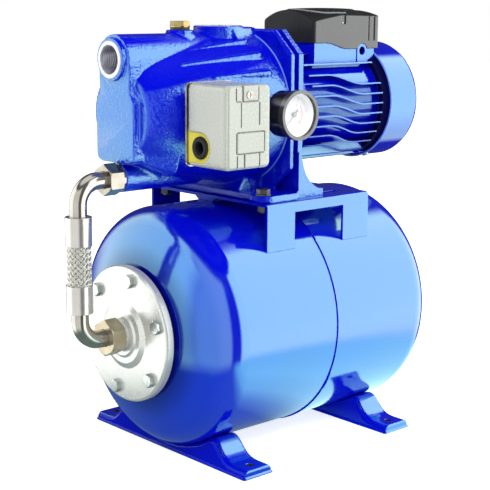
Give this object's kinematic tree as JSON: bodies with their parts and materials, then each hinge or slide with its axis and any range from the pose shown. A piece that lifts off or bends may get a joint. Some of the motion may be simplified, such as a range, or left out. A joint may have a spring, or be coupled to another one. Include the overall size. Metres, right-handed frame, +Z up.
{
  "type": "shallow well jet pump set",
  "caption": "Jet pump and motor on a horizontal pressure tank, with pressure switch, gauge and a braided hose to the tank flange.",
  "frame": {"origin": "bottom centre of the whole set's box, on the floor, on the plane through the tank axis and the pump axis", "axes": "+X from the hose end to the motor fan end, +Y to the side away from the switch and gauge, +Z up"},
  "size_m": [0.4724, 0.2726, 0.4904],
  "materials": {
    "blue_paint": "glossy enamel",
    "blue_cast": "glossy enamel over a pebbled casting",
    "zinc": "bright zinc plating",
    "nickel": "polished nickel",
    "steel_braid": "woven steel wire",
    "brass": "polished",
    "rubber": "matt",
    "black_plastic": "satin moulded",
    "grey_plastic": "moulded",
    "dark_steel": "oxidised",
    "steel": "machined",
    "ceramic": "lapped ceramic",
    "aluminium": "machined",
    "copper": "enamelled copper wire",
    "switch_grey": "semi gloss light grey",
    "chrome": "polished",
    "yellow_card": "matt card",
    "black_gloss": "gloss black",
    "glass": "clear",
    "white_dial": "matt white"
  },
  "bodies": {
    "pump_set": {"air_valve": "brass", "air_valve_cap": "black_plastic", "bladder": "rubber", "body_gasket": "rubber", "capacitor": "grey_plastic", "diffuser": "grey_plastic", "drain_plug": "brass", "ejector": "grey_plastic", "fan_cover": "blue_paint", "fan_cover_screws": "zinc", "flange_bolts": "zinc", "front_bearing": "steel", "front_foot": "blue_paint", "gauge_bezel": "dark_steel", "gauge_case": "black_gloss", "gauge_dial": "white_dial", "gauge_lens": "glass", "hose_braid": "steel_braid", "hose_liner": "rubber", "lower_elbow": "nickel", "lower_ferrule": "nickel", "lower_union_nut": "nickel", "motor_bracket": "blue_cast", "motor_housing": "blue_cast", "outlet_nipple": "nickel", "pump_body": "blue_cast", "pump_body_bolts": "zinc", "pump_foot_bolts": "dark_steel", "pump_platform": "blue_paint", "rear_bearing": "steel", "rear_end_shield": "blue_cast", "rear_foot": "blue_paint", "seal_seat": "ceramic", "stator_core": "dark_steel", "stator_windings": "copper", "switch_base": "steel", "switch_bushing": "black_plastic", "switch_card": "yellow_card", "switch_cover": "switch_grey", "switch_screw": "chrome", "tank_flange": "zinc", "tank_front_shell": "blue_paint", "tank_nipple": "zinc", "tank_rear_shell": "blue_paint", "terminal_box_cover": "black_plastic", "upper_elbow": "nickel", "upper_ferrule": "nickel", "upper_union_nut": "nickel"},
    "rotor": {"motor_shaft": "steel", "rotor_core": "aluminium", "impeller": "brass", "impeller_nut": "steel", "seal_head": "dark_steel", "cooling_fan": "black_plastic"},
    "needle": {"gauge_needle": "black_gloss"},
    "plug_seal": {"priming_plug_gasket": "rubber"},
    "plug": {"priming_plug": "brass"},
    "plunger": {"switch_plunger": "steel"},
    "lever": {"switch_lever": "steel"},
    "valve_pin": {"air_valve_pin": "brass"}
  },
  "joints": [
    {"name": "rotor_spin", "type": "hinge", "parent": "pump_set", "child": "rotor", "pos_m": [0.02463, 0, 0.383], "axis": [1, 0, 0], "continuous": true},
    {"name": "needle_turn", "type": "hinge", "parent": "pump_set", "child": "needle", "pos_m": [-0.02277, -0.115, 0.3836], "axis": [0, 1, 0], "range_deg": [0, 270]},
    {"name": "plug_lift", "type": "slide", "parent": "pump_set", "child": "plug_seal", "axis": [0, 0, 1], "range_m": [0, 0.014]},
    {"name": "plug_turn", "type": "hinge", "parent": "plug_seal", "child": "plug", "pos_m": [-0.08477, 0, 0.474], "axis": [0, 0, 1], "range_deg": [0, 3780]},
    {"name": "plunger_push", "type": "slide", "parent": "pump_set", "child": "plunger", "axis": [0, -1, 0], "range_m": [0, 0.001]},
    {"name": "lever_tilt", "type": "hinge", "parent": "pump_set", "child": "lever", "pos_m": [-0.12237, -0.089, 0.376], "axis": [0, 0, -1], "range_deg": [0, 4]},
    {"name": "valve_pin_push", "type": "slide", "parent": "pump_set", "child": "valve_pin", "axis": [-1, 0, 0], "range_m": [0, 0.0015]}
  ],
  "couplings": [
    {"joint": "plug_turn", "follows": "plug_lift", "rad_per_m": 4699.5},
    {"joint": "lever_tilt", "follows": "plunger_push", "rad_per_m": 55.556}
  ]
}
